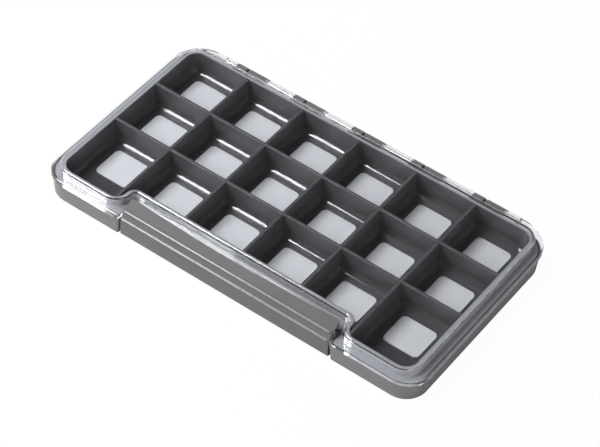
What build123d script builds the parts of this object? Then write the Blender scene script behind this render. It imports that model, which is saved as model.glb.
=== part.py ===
"""Slim fly box: a grid of magnet-floored compartments under a clear hinged lid.

X runs along the box, Y from the latch at the front to the hinge at the rear, Z up.
The origin is the centre of the underside of the closed box. Sizes are in millimetres.
Plan positions are first worked out from the centre of the compartment grid, and
at_y() moves them to the origin above.
"""

import os

from build123d import *

os.makedirs("parts", exist_ok=True)

# Compartments
COLUMNS = 6
ROWS = 3
COLUMN_PITCH = 29.7
ROW_PITCH = 27.5
RIB = 1.4
COVE_R = 2.5
RIB_CHAMFER = 0.2
BAY_DEPTH = 9.65
BAY_CORNER_R = 5.5

# The front wall steps back behind the latch in an S at each end
STEP_ROOT_R = 5.0
STEP_MOUTH_R = 4.6
STEP_SHOULDER = 4.1

# Heights
FLOOR_SHELL = 1.2
FLOOR_INSERT = 1.6
CELL_DEPTH = 11.2
PARTING_Z = 9.6
LEDGE = 1.6
PANEL = 1.7
LID_HEAD_GAP = 0.3
LID_SEAM_GAP = 0.15

# Magnets
MAGNET_X = 17.2
MAGNET_Y = 16.0
MAGNET_T = 1.0
MAGNET_R = 2.2
MAGNET_GAP = 0.25
MAGNET_PROUD = 0.1

# Base shell
RIM_WALL = 0.8
SIDE_MARGIN = 6.8
FRONT_MARGIN = 5.7
REAR_MARGIN = 4.05
SHELL_WALL = 1.5
SHELL_LIP = 0.8
SHELL_INSET = 0.4
DRAFT_INSET = 0.7
OUTER_R = 11.0
FOOT_R = 0.8
DROP_IN_GAP = 0.1

# Seal
RIM_LIP = 0.35
SEAL_SKIRT = 0.5
SEAL_CAP = 0.5
SEAL_T = 0.9
SEAL_BORDER = 0.3

# Lid
LID_RIM_GAP = 0.3
LID_WALL = 1.2
FLANGE = 2.2
PANEL_EDGE_R = 1.2
FLANGE_EDGE_R = 0.8
CATCH_REACH = 6.65
CATCH_H = 0.4
CATCH_W = 0.7

# Lid hinge
HINGE_BACK = 3.2
HINGE_DROP = 1.1
KNUCKLE_R = 2.9
KNUCKLE_L = 15.3
KNUCKLE_PITCH = 31.1
KNUCKLES = 5
KNUCKLE_GAP = 0.3
END_KNUCKLE_L = 6.9
PIN_R = 1.0
PIN_FIT = 0.06
PIN_HOLD = 0.02
PIN_COVER = 1.2
PIN_END_GAP = 0.5
KNUCKLE_FOOT_Z = 3.5
KNUCKLE_RELIEF = 0.3
RAIL_BACK = 1.0
RAIL_CORNER_R = 15.0
SIGHT_SLOT = 1.2
SIGHT_AT = 5.2

# Latch
LATCH_HALF = 53.0
LATCH_END_GAP = 0.6
LATCH_WALL = 1.5
LATCH_TOP = 15.5
LATCH_SET = 0.1
LATCH_REAR_GAP = 3.15
LATCH_SCOOP = 1.5
LATCH_BOW = 0.6
LATCH_CORNER_R = 1.2
RIDGE = 0.4
RIDGE_H = 1.0
RIDGE_EDGE_R = 0.15
RIDGE_LOW_Z = 10.5
RIDGE_HIGH_Z = 13.7
LATCH_LEAN = 0.9
LATCH_SHOULDER = 1.8
LATCH_END_INSET = 0.5
HOOK_BITE = 0.1
HOOK_T = 0.7
HOOK_H = 1.6
HOOK_END_GAP = 20.0
RECESS_BACK = 8.0
RECESS_MOUTH_R = 1.0
RECESS_ROOT_R = 2.0
CATCH_ROOT_R = 1.2
PIVOT_Z = 3.0
PIVOT_BACK = 2.85
LUGS = 4
LUG_PITCH = 29.0
LUG_L = 6.0
LUG_R = 1.6
LUG_GAP = 0.35
LUG_SWING = 1.5
LATCH_PIN_R = 0.6
LATCH_PIN_OVER = 3.0

# Worked-out heights
FLOOR_Z = FLOOR_SHELL + FLOOR_INSERT
RIM_Z = FLOOR_Z + CELL_DEPTH
PANEL_UNDER_Z = RIM_Z + LID_HEAD_GAP
PANEL_TOP_Z = PANEL_UNDER_Z + PANEL
FLANGE_Z = PARTING_Z + LID_SEAM_GAP
FLANGE_TOP_Z = FLANGE_Z + FLANGE
LEDGE_Z = PARTING_Z - LEDGE
SEAL_Z = PARTING_Z - SEAL_T
HINGE_Z = PARTING_Z - HINGE_DROP

# Worked-out plan positions, from the centre of the grid
HALF_X = COLUMNS * COLUMN_PITCH / 2 - RIB / 2
HALF_Y = ROWS * ROW_PITCH / 2 - RIB / 2
BAY_Y = -HALF_Y - BAY_DEPTH
RECESS_HALF = LATCH_HALF + LATCH_END_GAP
STEP_X = RECESS_HALF + STEP_SHOULDER
LID_HALF = HALF_X + SIDE_MARGIN
LID_FRONT = BAY_Y - FRONT_MARGIN
LID_REAR = HALF_Y + REAR_MARGIN
HINGE_Y = LID_REAR + HINGE_BACK
REAR_END = HINGE_Y + KNUCKLE_R
SEAL_OUT = RIM_WALL + SEAL_SKIRT
LID_IN = SEAL_OUT + LID_RIM_GAP
LID_OUT = LID_IN + LID_WALL
CATCH_Y = -HALF_Y - LID_OUT - CATCH_REACH
SHELL_HALF = LID_HALF - SHELL_INSET
SHELL_FRONT = LID_FRONT + SHELL_INSET
RECESS_Y = SHELL_FRONT + RECESS_BACK
LATCH_FRONT = SHELL_FRONT + LATCH_SET
PIVOT_Y = LATCH_FRONT + PIVOT_BACK
LATCH_REAR = -HALF_Y - LID_OUT - LATCH_REAR_GAP
GRID_Y = -(LID_FRONT + REAR_END) / 2


def at_y(y):
    """A plan position measured from the grid centre, moved to the part's origin."""
    return y + GRID_Y


def column_x(column):
    return (column - (COLUMNS - 1) / 2) * COLUMN_PITCH


def row_y(row):
    return (row - (ROWS - 1) / 2) * ROW_PITCH


def stepped_loop(half, rear, front, step_x, step_y, radii):
    """A rectangle whose front middle steps back: rear, front, mouth and root radii."""
    rear_corner, front_corner, mouth, root = radii
    points = [
        (-half, at_y(rear)),
        (-half, at_y(front)),
        (-step_x, at_y(front)),
        (-step_x, at_y(step_y)),
        (step_x, at_y(step_y)),
        (step_x, at_y(front)),
        (half, at_y(front)),
        (half, at_y(rear)),
    ]
    ends = [rear_corner, front_corner, mouth, root]
    sharpness = ends + ends[::-1]
    with BuildSketch(Plane.XY) as loop:
        with BuildLine():
            FilletPolyline(*points, radius=sharpness, close=True)
        make_face()
    return loop.sketch


def rim_face(grow):
    """The compartments' outer boundary, grown outwards by a distance."""
    return stepped_loop(
        HALF_X + grow,
        HALF_Y + grow,
        BAY_Y - grow,
        STEP_X - grow,
        -HALF_Y - grow,
        (BAY_CORNER_R + grow, BAY_CORNER_R + grow, STEP_MOUTH_R + grow, STEP_ROOT_R - grow),
    )


def shell_face(inset):
    """The base's outer boundary at the parting line, drawn inwards by a distance."""
    return stepped_loop(
        SHELL_HALF - inset,
        LID_REAR - inset,
        SHELL_FRONT + inset,
        RECESS_HALF + inset,
        RECESS_Y + inset,
        (OUTER_R - inset, OUTER_R - inset, RECESS_MOUTH_R, RECESS_ROOT_R + inset),
    )


def bar_x(y, z, radius, half_length):
    """A round bar along X, centred on the box."""
    with BuildPart() as bar:
        with BuildSketch(Plane.YZ.offset(-half_length)):
            with Locations((at_y(y), z)):
                Circle(radius)
        extrude(amount=2 * half_length)
    return bar.part


def knuckle_centres():
    return [(i - (KNUCKLES - 1) / 2) * KNUCKLE_PITCH for i in range(KNUCKLES)]


def lug_centres():
    return [(i - (LUGS - 1) / 2) * LUG_PITCH for i in range(LUGS)]


# Base shell: a drafted tray with a recess for the latch, hinge knuckles and lugs
def draft_at(z):
    return DRAFT_INSET * (1 - z / PARTING_Z)


def shell_block(inset, low, high):
    """A slice of the shell's drafted outline between two heights."""
    with BuildPart() as block:
        for height in (low, high):
            with BuildSketch(Plane.XY.offset(height)):
                add(shell_face(inset + draft_at(height)))
        loft(ruled=True)
    return block.part


def shell_knuckle_face():
    with BuildSketch(Plane.XY) as section:
        with Locations((at_y(HINGE_Y), HINGE_Z)):
            Circle(KNUCKLE_R)
        with BuildLine():
            Polyline(
                (at_y(LID_REAR) - SHELL_WALL, KNUCKLE_FOOT_Z),
                (at_y(LID_REAR) - SHELL_LIP / 2, LEDGE_Z),
                (at_y(LID_REAR) - SHELL_LIP / 2, PARTING_Z - KNUCKLE_RELIEF),
                (at_y(LID_REAR) + KNUCKLE_RELIEF, PARTING_Z - KNUCKLE_RELIEF),
                (at_y(HINGE_Y), HINGE_Z),
                (at_y(HINGE_Y), HINGE_Z - KNUCKLE_R),
                close=True,
            )
        make_face()
    return section.sketch


def lug_face():
    reach = RECESS_Y - PIVOT_Y + SHELL_WALL
    with BuildSketch(Plane.XY) as section:
        with Locations((at_y(PIVOT_Y), PIVOT_Z)):
            Circle(LUG_R)
        with Locations((at_y(PIVOT_Y) + reach / 2, PIVOT_Z)):
            Rectangle(reach, 2 * LUG_R)
    return section.sketch


with BuildPart() as shell:
    add(shell_block(0, 0, PARTING_Z))
    fillet(shell.edges().group_by(Axis.Z)[0], FOOT_R)
    add(shell_block(SHELL_WALL, FLOOR_SHELL, LEDGE_Z), mode=Mode.SUBTRACT)
    with BuildSketch(Plane.XY.offset(LEDGE_Z)):
        add(shell_face(SHELL_LIP))
    extrude(amount=LEDGE, mode=Mode.SUBTRACT)
    for centre in knuckle_centres():
        with BuildSketch(Plane.YZ.offset(centre - KNUCKLE_L / 2)):
            add(shell_knuckle_face())
        extrude(amount=KNUCKLE_L)
    for centre in lug_centres():
        with BuildSketch(Plane.YZ.offset(centre - LUG_L / 2)):
            add(lug_face())
        extrude(amount=LUG_L)
    add(bar_x(HINGE_Y, HINGE_Z, PIN_R + PIN_HOLD, LID_HALF), mode=Mode.SUBTRACT)
    add(bar_x(PIVOT_Y, PIVOT_Z, LATCH_PIN_R + PIN_HOLD, LATCH_HALF), mode=Mode.SUBTRACT)
    with BuildSketch(Plane.XY.offset(HINGE_Z)):
        for centre in knuckle_centres():
            with Locations((centre - KNUCKLE_L / 2 + SIGHT_AT, at_y(HINGE_Y))):
                Rectangle(SIGHT_SLOT, 2 * KNUCKLE_R)
    extrude(amount=2 * KNUCKLE_R, mode=Mode.SUBTRACT)
shell.part.label = "base_shell"


# Seal: a pale soft ring that caps the rim, runs down it and lies flush in the ledge
def rim_ring(inner, outer):
    with BuildSketch(Plane.XY) as ring:
        add(rim_face(outer))
        add(rim_face(inner), mode=Mode.SUBTRACT)
    return ring.sketch


with BuildPart() as seal:
    with BuildSketch(Plane.XY.offset(SEAL_Z)):
        add(shell_face(SHELL_LIP + DROP_IN_GAP + SEAL_BORDER))
        add(rim_face(RIM_WALL), mode=Mode.SUBTRACT)
    extrude(amount=SEAL_T)
    with BuildSketch(Plane.XY.offset(SEAL_Z)):
        add(rim_ring(RIM_WALL, SEAL_OUT))
    extrude(amount=RIM_Z - SEAL_Z)
    with BuildSketch(Plane.XY.offset(RIM_Z - SEAL_CAP)):
        add(rim_ring(RIM_LIP, SEAL_OUT))
    extrude(amount=SEAL_CAP)
seal.part.label = "seal_ring"


# Compartment insert: cells sunk into a block, with the sealing ledge around it
def cell_cutter(column, row):
    """One compartment: the box's four corner cells are rounded on their outer corner."""
    at_side = column in (0, COLUMNS - 1)
    rear = row_y(row) + (ROW_PITCH - RIB) / 2
    front = BAY_Y if at_side and row == 0 else rear - ROW_PITCH + RIB
    with BuildPart() as cutter:
        with BuildSketch(Plane.XY.offset(FLOOR_Z)) as outline:
            with Locations((column_x(column), at_y((rear + front) / 2))):
                Rectangle(COLUMN_PITCH - RIB, rear - front)
            if at_side and row in (0, ROWS - 1):
                outer = outline.vertices().sort_by_distance((0, at_y(0)))[-1]
                fillet(outer, BAY_CORNER_R)
        extrude(amount=CELL_DEPTH)
        fillet(cutter.edges().group_by(Axis.Z)[0], COVE_R)
    return cutter.part


def step_pocket(side):
    """The narrow end of a front compartment that runs forward beside the S step."""
    inner_end = STEP_X - STEP_ROOT_R
    outer_end = column_x(COLUMNS - 2) + (COLUMN_PITCH - RIB) / 2
    width = outer_end - inner_end
    depth = BAY_DEPTH + RIB
    with BuildPart() as pocket:
        with BuildSketch(Plane.XY.offset(FLOOR_Z + COVE_R)):
            add(rim_face(0))
            with Locations((side * (inner_end + width / 2), at_y(BAY_Y + depth / 2))):
                Rectangle(width, depth, mode=Mode.INTERSECT)
        extrude(amount=CELL_DEPTH - COVE_R)
    return pocket.part


CELLS = [(column, row) for row in range(ROWS) for column in range(COLUMNS)]
MAGNET_Z = FLOOR_Z + MAGNET_PROUD - MAGNET_T

with BuildPart() as insert:
    with BuildSketch(Plane.XY.offset(FLOOR_SHELL)):
        add(rim_face(RIM_WALL))
    extrude(amount=RIM_Z - FLOOR_SHELL)
    with BuildSketch(Plane.XY.offset(LEDGE_Z)):
        add(shell_face(SHELL_LIP + DROP_IN_GAP))
    extrude(amount=LEDGE)
    for cell in CELLS:
        add(cell_cutter(*cell), mode=Mode.SUBTRACT)
    rim_top = insert.faces().filter_by(Axis.Z).sort_by(Axis.Z)[-1]
    for mouth in rim_top.inner_wires():
        chamfer(mouth.edges(), RIB_CHAMFER)
    add(step_pocket(-1), mode=Mode.SUBTRACT)
    add(step_pocket(1), mode=Mode.SUBTRACT)
    with BuildSketch(Plane.XY.offset(MAGNET_Z)):
        with Locations(*[(column_x(c), at_y(row_y(r))) for c, r in CELLS]):
            RectangleRounded(
                MAGNET_X + 2 * MAGNET_GAP, MAGNET_Y + 2 * MAGNET_GAP, MAGNET_R + MAGNET_GAP
            )
    extrude(amount=MAGNET_T, mode=Mode.SUBTRACT)
    add(seal.part, mode=Mode.SUBTRACT)
insert.part.label = "compartment_insert"


# Magnets: one rounded plate set in each compartment's floor
def magnet_plate(column, row):
    with BuildPart() as plate:
        with BuildSketch(Plane.XY.offset(MAGNET_Z)):
            with Locations((column_x(column), at_y(row_y(row)))):
                RectangleRounded(MAGNET_X, MAGNET_Y, MAGNET_R)
        extrude(amount=MAGNET_T)
    return plate.part


# Lid: a raised clear panel over the grid, a low flange around it and knuckles
def lid_flange_face():
    """The flange's outline: at the rear it runs back over the hinge as a rail."""
    return stepped_loop(
        LID_HALF,
        HINGE_Y + RAIL_BACK,
        LID_FRONT,
        RECESS_HALF,
        CATCH_Y,
        (RAIL_CORNER_R, OUTER_R, RECESS_MOUTH_R, CATCH_ROOT_R),
    )


def lid_knuckle_face():
    """A round knuckle filled up to the rail above it."""
    with BuildSketch(Plane.XY) as section:
        with Locations((at_y(HINGE_Y), HINGE_Z)):
            Circle(KNUCKLE_R)
        with BuildLine():
            Polyline(
                (at_y(HINGE_Y) - KNUCKLE_R, HINGE_Z),
                (at_y(HINGE_Y), HINGE_Z),
                (at_y(HINGE_Y) + RAIL_BACK, FLANGE_Z + FLANGE / 2),
                (at_y(HINGE_Y) - KNUCKLE_R, FLANGE_Z + FLANGE / 2),
                close=True,
            )
        make_face()
    return section.sketch


def rail_notch_face():
    """Room in the rail for each of the base's knuckles."""
    front = HINGE_Y - KNUCKLE_R - KNUCKLE_GAP
    depth = KNUCKLE_GAP + 2 * KNUCKLE_R
    with BuildSketch(Plane.XY) as notches:
        for centre in knuckle_centres():
            with Locations((centre, at_y(front) + depth / 2)):
                Rectangle(KNUCKLE_L + 2 * KNUCKLE_GAP, depth)
    return notches.sketch


def lid_knuckles():
    """Each lid knuckle as its centre and length: one per gap, and one at each end."""
    between = KNUCKLE_PITCH - KNUCKLE_L - 2 * KNUCKLE_GAP
    inner = [(x + KNUCKLE_PITCH / 2, between) for x in knuckle_centres()[:-1]]
    end_x = knuckle_centres()[-1] + KNUCKLE_L / 2 + KNUCKLE_GAP + END_KNUCKLE_L / 2
    return inner + [(-end_x, END_KNUCKLE_L), (end_x, END_KNUCKLE_L)]


PIN_HALF = knuckle_centres()[-1] + KNUCKLE_L / 2 + KNUCKLE_GAP + END_KNUCKLE_L - PIN_COVER

with BuildPart() as lid:
    with BuildSketch(Plane.XY.offset(FLANGE_Z)):
        add(lid_flange_face())
    extrude(amount=FLANGE)
    fillet(lid.edges().group_by(Axis.Z)[-1], FLANGE_EDGE_R)
    with BuildSketch(Plane.XY.offset(FLANGE_Z)):
        add(rail_notch_face())
    extrude(amount=FLANGE, mode=Mode.SUBTRACT)
    with BuildSketch(Plane.XY.offset(FLANGE_Z)):
        add(rim_face(LID_OUT))
    extrude(amount=PANEL_TOP_Z - FLANGE_Z)
    fillet(lid.edges().group_by(Axis.Z)[-1], PANEL_EDGE_R)
    with BuildSketch(Plane.XY.offset(FLANGE_TOP_Z - FLANGE_EDGE_R)):
        with Locations((0, at_y(CATCH_Y + CATCH_W / 2))):
            Rectangle(2 * (STEP_X - LID_OUT - STEP_ROOT_R), CATCH_W)
    extrude(amount=FLANGE_EDGE_R + CATCH_H)
    for centre, length in lid_knuckles():
        with BuildSketch(Plane.YZ.offset(centre - length / 2)):
            add(lid_knuckle_face())
        extrude(amount=length)
    with BuildSketch(Plane.XY.offset(FLANGE_Z)):
        add(rim_face(LID_IN))
    extrude(amount=PANEL_UNDER_Z - FLANGE_Z, mode=Mode.SUBTRACT)
    add(bar_x(HINGE_Y, HINGE_Z, PIN_R + PIN_FIT, PIN_HALF + PIN_END_GAP), mode=Mode.SUBTRACT)
lid.part.label = "lid"


# Hinge pin: one steel wire through the lid's and the base's knuckles
with BuildPart() as hinge_pin:
    add(bar_x(HINGE_Y, HINGE_Z, PIN_R, PIN_HALF))
hinge_pin.part.label = "hinge_pin"


# Latch: a bowed bar that turns on its own pin and hooks over the lid's catch
def latch_profile():
    """The latch's section: front wall, two ridges and a flat top that slopes forward."""
    front_top = LATCH_FRONT + LATCH_LEAN
    shoulder = front_top + LATCH_SHOULDER
    low = RIDGE_LOW_Z
    high = RIDGE_HIGH_Z
    inner = LATCH_WALL
    with BuildSketch(Plane.XY) as section:
        with BuildLine():
            FilletPolyline(
                (at_y(LATCH_FRONT), PIVOT_Z),
                (at_y(front_top), low - RIDGE_H / 2),
                (at_y(front_top) - RIDGE, low),
                (at_y(front_top) + RIDGE, low + RIDGE_H / 2),
                (at_y(shoulder), high - RIDGE_H / 2),
                (at_y(shoulder) - RIDGE, high),
                (at_y(shoulder) + RIDGE, high),
                (at_y(LATCH_REAR), LATCH_TOP),
                (at_y(LATCH_REAR), LATCH_TOP - inner),
                (at_y(shoulder) + inner, high - inner),
                (at_y(front_top) + inner, low - inner / 2),
                (at_y(LATCH_FRONT) + inner, PIVOT_Z),
                radius=RIDGE_EDGE_R,
                close=True,
            )
        make_face()
        with Locations((at_y(PIVOT_Y), PIVOT_Z)):
            Circle(PIVOT_BACK)
    return section.sketch


def latch_end_face():
    """The web that closes each end of the latch, a little inside its section."""
    front_top = LATCH_FRONT + LATCH_LEAN
    shoulder = front_top + LATCH_SHOULDER
    inset = LATCH_END_INSET
    with BuildSketch(Plane.XY) as section:
        with BuildLine():
            Polyline(
                (at_y(LATCH_FRONT) + inset, PIVOT_Z),
                (at_y(front_top) + inset, RIDGE_LOW_Z),
                (at_y(shoulder) + inset, RIDGE_HIGH_Z - inset),
                (at_y(CATCH_Y) - inset, RIDGE_HIGH_Z - inset),
                (at_y(CATCH_Y) - inset, PIVOT_Z),
                (at_y(PIVOT_Y), PIVOT_Z - PIVOT_BACK + inset),
                close=True,
            )
        make_face()
    return section.sketch


def latch_plan():
    """The latch from above: bowed in front and hollowed behind, each by one long arc."""
    front = at_y(LATCH_FRONT)
    rear = at_y(LATCH_REAR)
    front_end = (LATCH_HALF, front + LATCH_BOW)
    rear_end = (LATCH_HALF, rear)
    with BuildSketch(Plane.XY) as outline:
        with BuildLine():
            ThreePointArc((-LATCH_HALF, front + LATCH_BOW), (0, front - LATCH_BOW), front_end)
            Line(front_end, rear_end)
            ThreePointArc(rear_end, (0, rear - LATCH_SCOOP), (-LATCH_HALF, rear))
            Line((-LATCH_HALF, rear), (-LATCH_HALF, front + LATCH_BOW))
        make_face()
        fillet(outline.vertices().group_by(Axis.Y)[-1], LATCH_CORNER_R)
    return outline.sketch


def lug_pocket_face():
    """Room in the latch for one of the base's lugs, through the whole swing."""
    reach = LUG_R + LUG_GAP
    with BuildSketch(Plane.XY) as section:
        with Locations((at_y(PIVOT_Y), PIVOT_Z)):
            Circle(reach)
        with Locations((at_y(PIVOT_Y) + PIVOT_BACK, PIVOT_Z + reach)):
            Rectangle(
                PIVOT_BACK + LUG_SWING, reach + PIVOT_BACK + LUG_GAP, align=(Align.MAX, Align.MAX)
            )
    return section.sketch


LATCH_PIN_HALF = lug_centres()[-1] + LUG_L / 2 + LATCH_PIN_OVER

with BuildPart() as latch:
    with BuildSketch(Plane.YZ.offset(-LATCH_HALF)):
        add(latch_profile())
    extrude(amount=2 * LATCH_HALF)
    for wall_x in (-LATCH_HALF, LATCH_HALF - LATCH_WALL):
        with BuildSketch(Plane.YZ.offset(wall_x)):
            add(latch_end_face())
        extrude(amount=LATCH_WALL)
    with BuildSketch(Plane.XY):
        add(latch_plan())
    extrude(amount=PANEL_TOP_Z, mode=Mode.INTERSECT)
    hook_y = CATCH_Y + CATCH_W + LID_RIM_GAP
    hook_z = FLANGE_TOP_Z + CATCH_H - HOOK_BITE
    with BuildSketch(Plane.XY.offset(hook_z)):
        with Locations((0, at_y(hook_y) + HOOK_T / 2)):
            Rectangle(2 * (LATCH_HALF - HOOK_END_GAP), HOOK_T)
    extrude(amount=HOOK_H)
    for centre in lug_centres():
        with BuildSketch(Plane.YZ.offset(centre - LUG_L / 2 - LUG_GAP)):
            add(lug_pocket_face())
        extrude(amount=LUG_L + 2 * LUG_GAP, mode=Mode.SUBTRACT)
    add(bar_x(PIVOT_Y, PIVOT_Z, LATCH_PIN_R + PIN_FIT, LATCH_PIN_HALF), mode=Mode.SUBTRACT)
latch.part.label = "latch"


# Latch pin: a thin wire through the lugs and the latch's lower edge
with BuildPart() as latch_pin:
    add(bar_x(PIVOT_Y, PIVOT_Z, LATCH_PIN_R, LATCH_PIN_HALF))
latch_pin.part.label = "latch_pin"


for piece in (shell, insert, seal, lid, hinge_pin, latch, latch_pin):
    export_step(piece.part, f"parts/{piece.part.label}.step")

for cell_column, cell_row in CELLS:
    magnet = magnet_plate(cell_column, cell_row)
    magnet.label = f"magnet_{'front mid rear'.split()[cell_row]}_{cell_column + 1}"
    export_step(magnet, f"parts/{magnet.label}.step")
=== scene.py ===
# %% [markdown]
# # A slim fly box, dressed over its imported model
#
# The box is a grey moulded tray with a dark tray of compartments inside, a clear
# lid that hinges at the back, and a long latch bar in front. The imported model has
# every piece of it, and the pieces fit each other and turn on their joints, so none
# of them is modelled again. What is left to do here is the finishes, two thin beads
# on the latch, and the camera, the table and the light.

import math

import bpy
from mathutils import Matrix, Vector


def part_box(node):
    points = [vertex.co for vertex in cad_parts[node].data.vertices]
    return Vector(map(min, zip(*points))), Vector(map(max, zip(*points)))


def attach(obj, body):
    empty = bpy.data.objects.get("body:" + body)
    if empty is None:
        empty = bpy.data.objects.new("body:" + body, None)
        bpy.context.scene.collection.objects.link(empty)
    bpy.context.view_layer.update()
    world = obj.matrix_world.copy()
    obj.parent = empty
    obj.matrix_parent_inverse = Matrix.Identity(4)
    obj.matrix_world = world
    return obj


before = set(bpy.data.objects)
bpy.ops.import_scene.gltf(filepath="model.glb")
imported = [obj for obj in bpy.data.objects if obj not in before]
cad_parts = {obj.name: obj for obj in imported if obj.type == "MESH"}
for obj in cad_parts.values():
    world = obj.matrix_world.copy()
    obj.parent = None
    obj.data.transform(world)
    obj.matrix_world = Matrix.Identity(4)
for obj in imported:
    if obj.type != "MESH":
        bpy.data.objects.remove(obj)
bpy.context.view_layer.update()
bpy.ops.object.select_all(action="DESELECT")
print("nodes:", len(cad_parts))

# %% [markdown]
# ## The camera
#
# The photograph was taken from the front right, about 47 degrees above the table,
# with a long lens and the camera tipped a little. A Track To constraint would aim a
# camera but leave no room for the tip. So its three directions, across, up and back,
# are worked out from the angles and written straight into its matrix.

# %% Place the camera
VIEW_AZIMUTH = math.radians(33.288)
VIEW_ELEVATION = math.radians(47.194)
VIEW_ROLL = math.radians(4.058)
VIEW_DISTANCE = 0.99568
VIEW_SLIDE = Vector((-0.001080, -0.011690))
VIEW_CENTRE = Vector((0.0, 0.0026, 0.0140))
LENS_MM = 143.57
SENSOR_MM = 36.0
NEAREST_SEEN = 0.05

back = Vector((
    math.sin(VIEW_AZIMUTH) * math.cos(VIEW_ELEVATION),
    -math.cos(VIEW_AZIMUTH) * math.cos(VIEW_ELEVATION),
    math.sin(VIEW_ELEVATION),
))
sideways = Vector((math.cos(VIEW_AZIMUTH), math.sin(VIEW_AZIMUTH), 0.0))
upright = back.cross(sideways)
across = math.cos(VIEW_ROLL) * sideways + math.sin(VIEW_ROLL) * upright
up = math.cos(VIEW_ROLL) * upright - math.sin(VIEW_ROLL) * sideways

bpy.ops.object.camera_add()
camera = bpy.context.object
camera.name = "photo_camera"
camera.data.lens = LENS_MM
camera.data.sensor_width = SENSOR_MM
camera.data.clip_start = NEAREST_SEEN
camera.matrix_world = Matrix.Translation(
    VIEW_CENTRE + across * VIEW_SLIDE.x + up * VIEW_SLIDE.y + back * VIEW_DISTANCE
) @ Matrix((across, up, back)).transposed().to_4x4()
bpy.context.scene.camera = camera
print("camera at", [round(v, 4) for v in camera.location])

# %% [markdown]
# ## The start of every finish
#
# Moulded plastic is never one flat colour. A scanned texture would show that, but it
# needs an image and a UV map. Noise in the piece's own space needs neither, and it
# has no seams. Both helpers here are used by the finishes that follow.

# %% Start a finish and its noise
def new_finish(name, colour, roughness, **sockets):
    """A material with one Principled shader. Even values go on its own sockets."""
    finish = bpy.data.materials.new(name)
    finish.use_nodes = True
    shader = finish.node_tree.nodes["Principled BSDF"]
    shader.inputs["Base Color"].default_value = (*colour, 1.0)
    shader.inputs["Roughness"].default_value = roughness
    for socket, value in sockets.items():
        shader.inputs[socket.replace("_", " ")].default_value = value
    return finish, shader


def grain(finish, scale, detail=4.0):
    """Noise in the box's own space, so the pattern stays put as the box turns."""
    nodes, links = finish.node_tree.nodes, finish.node_tree.links
    place = nodes.new("ShaderNodeTexCoord")
    noise = nodes.new("ShaderNodeTexNoise")
    noise.inputs["Scale"].default_value = scale
    noise.inputs["Detail"].default_value = detail
    links.new(place.outputs["Object"], noise.inputs["Vector"])
    return noise


print("helpers:", new_finish.__name__, grain.__name__)

# %% [markdown]
# ## What the noise drives
#
# Noise stays near its middle value, so only its middle part is stretched to the
# range that is wanted. It drives three things: the gloss, through Map Range, the
# colour, through a Color Ramp, and a bump for the fine texture that a mould leaves.

# %% Drive gloss, colour and bump
NOISE_RANGE = (0.3, 0.7)
RAMP_RANGE = (0.35, 0.65)
PEBBLE_DETAIL = 3.0
PEBBLE_STRENGTH = 0.3


def spread(finish, noise, low, high, socket):
    """Turns noise into a range of values for one of the shader's sockets."""
    nodes, links = finish.node_tree.nodes, finish.node_tree.links
    span = nodes.new("ShaderNodeMapRange")
    span.inputs["From Min"].default_value = NOISE_RANGE[0]
    span.inputs["From Max"].default_value = NOISE_RANGE[1]
    span.inputs["To Min"].default_value = low
    span.inputs["To Max"].default_value = high
    links.new(noise.outputs["Fac"], span.inputs["Value"])
    links.new(span.outputs["Result"], socket)


def pebble(finish, shader, scale, depth):
    """The fine texture that a mould leaves, as a bump."""
    nodes, links = finish.node_tree.nodes, finish.node_tree.links
    noise = grain(finish, scale, detail=PEBBLE_DETAIL)
    bump = nodes.new("ShaderNodeBump")
    bump.inputs["Strength"].default_value = PEBBLE_STRENGTH
    bump.inputs["Distance"].default_value = depth
    links.new(noise.outputs["Fac"], bump.inputs["Height"])
    links.new(bump.outputs["Normal"], shader.inputs["Normal"])


def tint(finish, shader, noise, first, second):
    """A slow drift between two close colours."""
    nodes, links = finish.node_tree.nodes, finish.node_tree.links
    ramp = nodes.new("ShaderNodeValToRGB")
    for stop, position, colour in zip(
        ramp.color_ramp.elements, RAMP_RANGE, (first, second)
    ):
        stop.position = position
        stop.color = (*colour, 1.0)
    links.new(noise.outputs["Fac"], ramp.inputs["Fac"])
    links.new(ramp.outputs["Color"], shader.inputs["Base Color"])


print("helpers:", spread.__name__, pebble.__name__, tint.__name__)

# %% [markdown]
# ## Grey moulded plastic
#
# The tray and the latch are moulded in one mid-grey plastic with a satin texture.
# One finish could serve both, but the latch leans back under the lamp and would come
# out too light, so it has a finish of its own: its colour is painted shade, a shade
# darker than the tray's, and it is rougher and has a weaker reflection.

# %% Tray and latch finishes
SLOW_DRIFT = 60
SATIN_GRAIN = 900
MOULD_GRAIN = 2600
MOULD_DEPTH = 0.00003

tray_grey, shader = new_finish(
    "tray_grey", colour=(0.145, 0.145, 0.144), roughness=0.42
)
tint(tray_grey, shader, grain(tray_grey, SLOW_DRIFT),
     first=(0.138, 0.138, 0.136), second=(0.152, 0.152, 0.150))
spread(tray_grey, grain(tray_grey, SATIN_GRAIN),
       low=0.38, high=0.48, socket=shader.inputs["Roughness"])
pebble(tray_grey, shader, MOULD_GRAIN, MOULD_DEPTH)

# Painted shade: the latch's colour is darker than the tray's same plastic, to offset
# the lamp.
latch_grey_painted_shade, shader = new_finish(
    "latch_grey_painted_shade", colour=(0.12, 0.12, 0.12), roughness=0.55, Specular_IOR_Level=0.35
)
tint(latch_grey_painted_shade, shader, grain(latch_grey_painted_shade, SLOW_DRIFT),
     first=(0.114, 0.114, 0.114), second=(0.126, 0.126, 0.126))
spread(latch_grey_painted_shade, grain(latch_grey_painted_shade, SATIN_GRAIN),
       low=0.51, high=0.59, socket=shader.inputs["Roughness"])
pebble(latch_grey_painted_shade, shader, MOULD_GRAIN, MOULD_DEPTH)
print("grey finishes:", tray_grey.name, latch_grey_painted_shade.name)

# %% [markdown]
# ## Dark compartment plastic
#
# The walls of the compartments are satin, and the round along the foot of each wall
# is polished: it mirrors the lamp overhead as a crisp white line. Two materials
# could be given to the faces by hand. One finish that changes with the height above
# the table does the same in every compartment at once.

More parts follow.
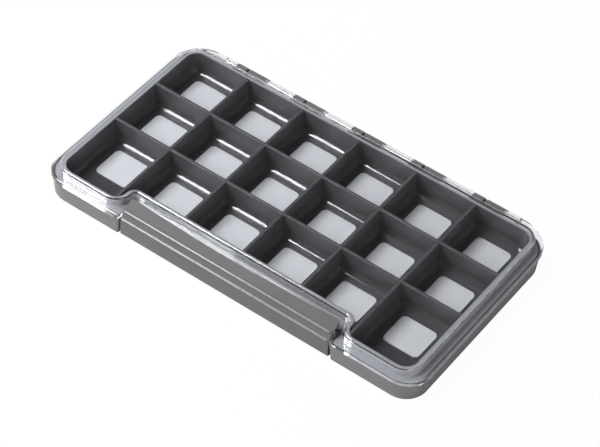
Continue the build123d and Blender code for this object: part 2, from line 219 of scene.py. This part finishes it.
# %% Compartment finish
FOOT_HEIGHTS = (0.0036, 0.0044)
FOOT_ROUGHNESS, WALL_ROUGHNESS = 0.08, 0.42
FOOT_COAT, WALL_COAT = 1.0, 0.0


def by_height(finish, levels, heights, socket):
    """One value up to the first height above the table and another from the second."""
    nodes, links = finish.node_tree.nodes, finish.node_tree.links
    place = nodes.new("ShaderNodeTexCoord")
    split = nodes.new("ShaderNodeSeparateXYZ")
    span = nodes.new("ShaderNodeMapRange")
    span.inputs["From Min"].default_value = heights[0]
    span.inputs["From Max"].default_value = heights[1]
    span.inputs["To Min"].default_value = levels[0]
    span.inputs["To Max"].default_value = levels[1]
    links.new(place.outputs["Object"], split.inputs["Vector"])
    links.new(split.outputs["Z"], span.inputs["Value"])
    links.new(span.outputs["Result"], socket)


cell_dark, shader = new_finish(
    "cell_dark", colour=(0.085, 0.085, 0.088), roughness=0.3,
    Coat_IOR=1.8, Coat_Roughness=0.04,
)
tint(cell_dark, shader, grain(cell_dark, scale=80),
     first=(0.080, 0.080, 0.083), second=(0.091, 0.091, 0.094))
by_height(cell_dark, (FOOT_ROUGHNESS, WALL_ROUGHNESS), FOOT_HEIGHTS,
          socket=shader.inputs["Roughness"])
by_height(cell_dark, (FOOT_COAT, WALL_COAT), FOOT_HEIGHTS,
          socket=shader.inputs["Coat Weight"])

# %% [markdown]
# ## Plated magnets and steel wires
#
# Each magnet is a satin plated plate that looks nearly white. A fully metallic
# shader would only mirror the dark walls round it, so most of its brightness is its
# own colour, with a slow drift across the plate. The two hinge wires are bare steel,
# which is metallic all over, and worn a little unevenly.

# %% Magnet and wire finishes
plated, shader = new_finish(
    "plated_magnet", colour=(0.91, 0.92, 0.94), roughness=0.45, Metallic=0.1
)
tint(plated, shader, grain(plated, scale=110),
     first=(0.90, 0.91, 0.935), second=(0.92, 0.93, 0.95))
spread(plated, grain(plated, scale=500),
       low=0.34, high=0.44, socket=shader.inputs["Roughness"])

steel, shader = new_finish(
    "steel_wire", colour=(0.56, 0.56, 0.57), roughness=0.3, Metallic=1.0
)
spread(steel, grain(steel, scale=800),
       low=0.25, high=0.38, socket=shader.inputs["Roughness"])
print("metal finishes:", plated.name, steel.name)

# %% [markdown]
# ## Clear plastic
#
# Real clear plastic bends light, so the lid's edges fill with white from around the
# box. A Transparent shader alone would lose that, and a glass one alone would shade
# the compartments, because lamps can't shine straight through it. So the glass is
# swapped for a transparent shader for the rays that look for a lamp, and for light
# that the pieces inside have scattered. That way the compartments are equally bright
# with the lid open and closed. A clear coat makes the catch-lights along the lid's
# rounded edges stronger.

# %% Clear lid
HAZE = 0.02


def clear_finish(name, colour, roughness, ior):
    """A coated glass shader that lets lamps shine straight through it."""
    finish, shader = new_finish(name, colour, roughness, IOR=ior,
                                Transmission_Weight=1.0, Coat_Weight=1.0,
                                Coat_IOR=1.55, Coat_Roughness=0.02)
    nodes, links = finish.node_tree.nodes, finish.node_tree.links
    spread(finish, grain(finish, scale=300),
           low=roughness, high=roughness + HAZE, socket=shader.inputs["Roughness"])
    rays = nodes.new("ShaderNodeLightPath")
    open_way = nodes.new("ShaderNodeBsdfTransparent")
    open_way.inputs["Color"].default_value = (*colour, 1.0)
    unbent = nodes.new("ShaderNodeMath")
    unbent.operation = "MAXIMUM"
    swap = nodes.new("ShaderNodeMixShader")
    links.new(rays.outputs["Is Shadow Ray"], unbent.inputs[0])
    links.new(rays.outputs["Is Diffuse Ray"], unbent.inputs[1])
    links.new(unbent.outputs["Value"], swap.inputs["Fac"])
    links.new(shader.outputs["BSDF"], swap.inputs[1])
    links.new(open_way.outputs["BSDF"], swap.inputs[2])
    links.new(swap.outputs["Shader"], nodes["Material Output"].inputs["Surface"])
    return finish


clear_plastic = clear_finish(
    "clear_plastic", colour=(0.955, 0.96, 0.975), roughness=0.0, ior=1.50
)
print("clear finish:", clear_plastic.name)

# %% [markdown]
# ## Soft seal
#
# The seal is a soft pale ring between the tray and the lid. A subsurface shader could
# let some light into it. That is slow for so thin a ring, and under the lid's bright
# flange it would hardly show, so the seal is a plain satin grey.

# %% Seal finish
milky_seal, shader = new_finish(
    "milky_seal", colour=(0.42, 0.425, 0.445), roughness=0.3
)
tint(milky_seal, shader, grain(milky_seal, scale=90),
     first=(0.40, 0.405, 0.425), second=(0.44, 0.445, 0.465))
spread(milky_seal, grain(milky_seal, scale=400),
       low=0.25, high=0.35, socket=shader.inputs["Roughness"])
print("seal finish:", milky_seal.name)

# %% [markdown]
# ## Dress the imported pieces
#
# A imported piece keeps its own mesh, because the meshes already fit each other. Each
# one only gets a finish in its material slot, looked up by the piece's name.

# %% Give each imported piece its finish
FINISH_OF = {
    "base_shell": tray_grey,
    "compartment_insert": cell_dark,
    "seal_ring": milky_seal,
    "lid": clear_plastic,
    "latch": latch_grey_painted_shade,
    "hinge_pin": steel,
    "latch_pin": steel,
}
for name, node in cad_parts.items():
    finish = plated if name.startswith("magnet") else FINISH_OF[name]
    node.data.materials.clear()
    node.data.materials.append(finish)
print("dressed", len(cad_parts), "pieces")

# %% [markdown]
# ## Ridges along the latch
#
# Two fine ridges run along the latch, and each one catches the light as a thin
# bright line. The imported latch has them as plain steps, whose flat faces turn no
# highlight to the camera. A imported mesh stays as it is, so each ridge gets a glossy
# bead instead: a thin cylinder turned to lie along it, its ends rounded by a bevel.
# The bead's grey is much lighter than the latch's, a painted highlight on top of its
# real gloss.

# %% A bead on each ridge
BEAD_R = 0.00045
BEAD_END_INSET = 0.0008
BEAD_SIDES = 32
BEAD_END_SEGMENTS = 3
RIDGES = {
    "latch_ridge_low": (0.00055, 0.0105),
    "latch_ridge_high": (0.00235, 0.0137),
}

# Painted highlight: the bead is a lighter grey than the latch's plastic, so its line
# shows brighter.
ridge_painted_highlight, shader = new_finish(
    "ridge_painted_highlight", colour=(0.29, 0.29, 0.29), roughness=0.28, Specular_IOR_Level=1.0
)
spread(ridge_painted_highlight, grain(ridge_painted_highlight, scale=700),
       low=0.25, high=0.31, socket=shader.inputs["Roughness"])
latch_low, latch_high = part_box("latch")


def ridge_bead(name, set_back, height):
    """A straight bead along the latch, set back from its front at one height."""
    bpy.ops.mesh.primitive_cylinder_add(
        vertices=BEAD_SIDES,
        radius=BEAD_R,
        depth=latch_high.x - latch_low.x - 2 * BEAD_END_INSET,
        location=(0.0, latch_low.y + set_back, height),
        rotation=(0.0, math.pi / 2, 0.0),
    )
    bead = bpy.context.object
    bead.name = name
    bpy.ops.object.transform_apply(location=True, rotation=True, scale=True)
    bevel = bead.modifiers.new("round_ends", "BEVEL")
    bevel.width = BEAD_R / 2
    bevel.segments = BEAD_END_SEGMENTS
    bpy.ops.object.modifier_apply(modifier=bevel.name)
    bpy.ops.object.shade_smooth()
    bead.data.materials.append(ridge_painted_highlight)
    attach(bead, "latch")
    return bead


for name, (set_back, height) in RIDGES.items():
    bead = ridge_bead(name, set_back, height)

# %% [markdown]
# ## Levels that depend on who looks
#
# The photograph is cut out on white. More light on a grey table would also bleach
# the box. So the table and the sky are white by themselves, but only for the
# camera, also where it looks through clear plastic. Light that has bounced off a
# piece isn't let in on that: the number of its diffuse and glossy bounces is taken
# off, so the white never lights the box.

# %% Two levels from one set of rays
def camera_level(nodes, links, others, camera_sees):
    """A level for the camera, also through clear plastic, and one for other rays."""
    rays = nodes.new("ShaderNodeLightPath")
    either = nodes.new("ShaderNodeMath")
    either.operation = "MAXIMUM"
    bounced = nodes.new("ShaderNodeMath")
    bounced.operation = "ADD"
    unlit = nodes.new("ShaderNodeMath")
    unlit.operation = "SUBTRACT"
    level = nodes.new("ShaderNodeMapRange")
    level.inputs["To Min"].default_value = others
    level.inputs["To Max"].default_value = camera_sees
    links.new(rays.outputs["Is Camera Ray"], either.inputs[0])
    links.new(rays.outputs["Is Transmission Ray"], either.inputs[1])
    links.new(either.outputs["Value"], unlit.inputs[0])
    links.new(rays.outputs["Diffuse Depth"], bounced.inputs[0])
    links.new(rays.outputs["Glossy Depth"], bounced.inputs[1])
    links.new(bounced.outputs["Value"], unlit.inputs[1])
    links.new(unlit.outputs["Value"], level.inputs["Value"])
    return level


print("helper:", camera_level.__name__)

# %% [markdown]
# ## The table
#
# A plane stands in for the sheet of white paper under the box. A bent backdrop isn't
# needed, because the sky takes over where the plane ends. A small share of the paper
# is lit by the lamps as usual and keeps the box's shadow, and the rest is white for
# the camera. To every other ray it is all lit paper.

# %% A white table
TABLE_SIZE = 4.0
TABLE_SHARE = 0.97
WHITE = (1.0, 1.0, 1.0, 1.0)

bpy.ops.mesh.primitive_plane_add(size=TABLE_SIZE, location=(0.0, 0.0, 0.0))
table = bpy.context.object
table.name = "table"
paper, shader = new_finish(
    "paper", colour=(0.9, 0.9, 0.9), roughness=0.9, Specular_IOR_Level=0.0
)
nodes, links = paper.node_tree.nodes, paper.node_tree.links
white = nodes.new("ShaderNodeEmission")
white.inputs["Color"].default_value = WHITE
swap = nodes.new("ShaderNodeMixShader")
share = camera_level(nodes, links, others=0.0, camera_sees=TABLE_SHARE)
links.new(share.outputs["Result"], swap.inputs["Fac"])
links.new(shader.outputs["BSDF"], swap.inputs[1])
links.new(white.outputs["Emission"], swap.inputs[2])
links.new(swap.outputs["Shader"], nodes["Material Output"].inputs["Surface"])
table.data.materials.append(paper)
print("table", tuple(round(v, 2) for v in table.dimensions))

# %% [markdown]
# ## The room
#
# The world is white for the camera. For other rays it is a dark room with a low
# white horizon: the box's upright sides and the lid's edges reflect the horizon, and
# the compartments look up into the dark, so they stay deep. A white world alone
# would fill them with light. The height of a ray's direction, from the Generated
# coordinates of the world, tells the horizon from the room above it.

# %% A dark room with a white horizon
ROOM_LEVEL = 0.03
HORIZON_LEVEL = 1.0
HORIZON_TOP = 0.30
ROOM_START = 0.45
CAMERA_SKY = 1.0

sky = bpy.data.worlds.new("studio_room")
bpy.context.scene.world = sky
sky.use_nodes = True
nodes, links = sky.node_tree.nodes, sky.node_tree.links
air = nodes["Background"]
air.inputs["Color"].default_value = WHITE
place = nodes.new("ShaderNodeTexCoord")
split = nodes.new("ShaderNodeSeparateXYZ")
glow = nodes.new("ShaderNodeMapRange")
glow.inputs["From Min"].default_value = HORIZON_TOP
glow.inputs["From Max"].default_value = ROOM_START
glow.inputs["To Min"].default_value = HORIZON_LEVEL
glow.inputs["To Max"].default_value = ROOM_LEVEL
level = camera_level(nodes, links, others=ROOM_LEVEL, camera_sees=CAMERA_SKY)
links.new(place.outputs["Generated"], split.inputs["Vector"])
links.new(split.outputs["Z"], glow.inputs["Value"])
links.new(glow.outputs["Result"], level.inputs["To Min"])
links.new(level.outputs["Result"], air.inputs["Strength"])
print("room level", ROOM_LEVEL, "horizon level", HORIZON_LEVEL)

# %% [markdown]
# ## The lamps
#
# In the photograph the walls that face the front are lighter than the walls that face
# right, and all their shadows are soft. So a big soft box faces straight down from
# over the front left, and a weak fill keeps the right side open. A sun lamp would be
# simpler, but its shadows are hard and it makes no long highlight. Each area lamp's
# power is worked out from its size, so it can grow or shrink and look equally bright.

# %% A big soft box over the front left, and a weak fill from the right
KEY_PLACE = (-0.64, -0.50, 0.80)
KEY_SIZE = (0.50, 1.05)
KEY_RADIANCE = 12.0
KEY_TURN = (0.0, 0.0, math.radians(-17.7))
FILL_PLACE = (1.10, -0.60, 0.60)
FILL_SIZE = (0.7, 0.7)
FILL_RADIANCE = 2.5
FILL_TURN = (0.0, math.radians(60.0), math.radians(-28.0))


def soft_box(name, place, size, radiance, turn):
    """A rectangular area lamp whose power follows from its size and brightness."""
    bpy.ops.object.light_add(type="AREA", location=place, rotation=turn)
    lamp = bpy.context.object
    lamp.name = name
    lamp.data.shape = "RECTANGLE"
    lamp.data.size, lamp.data.size_y = size
    lamp.data.energy = radiance * math.pi * size[0] * size[1]
    return lamp


key = soft_box("key_over_left", KEY_PLACE, KEY_SIZE, KEY_RADIANCE, KEY_TURN)
fill = soft_box("fill_right", FILL_PLACE, FILL_SIZE, FILL_RADIANCE, FILL_TURN)
view = bpy.context.scene.view_settings
view.view_transform = "Standard"
print("lamps in watts", round(key.data.energy, 1), round(fill.data.energy, 1))
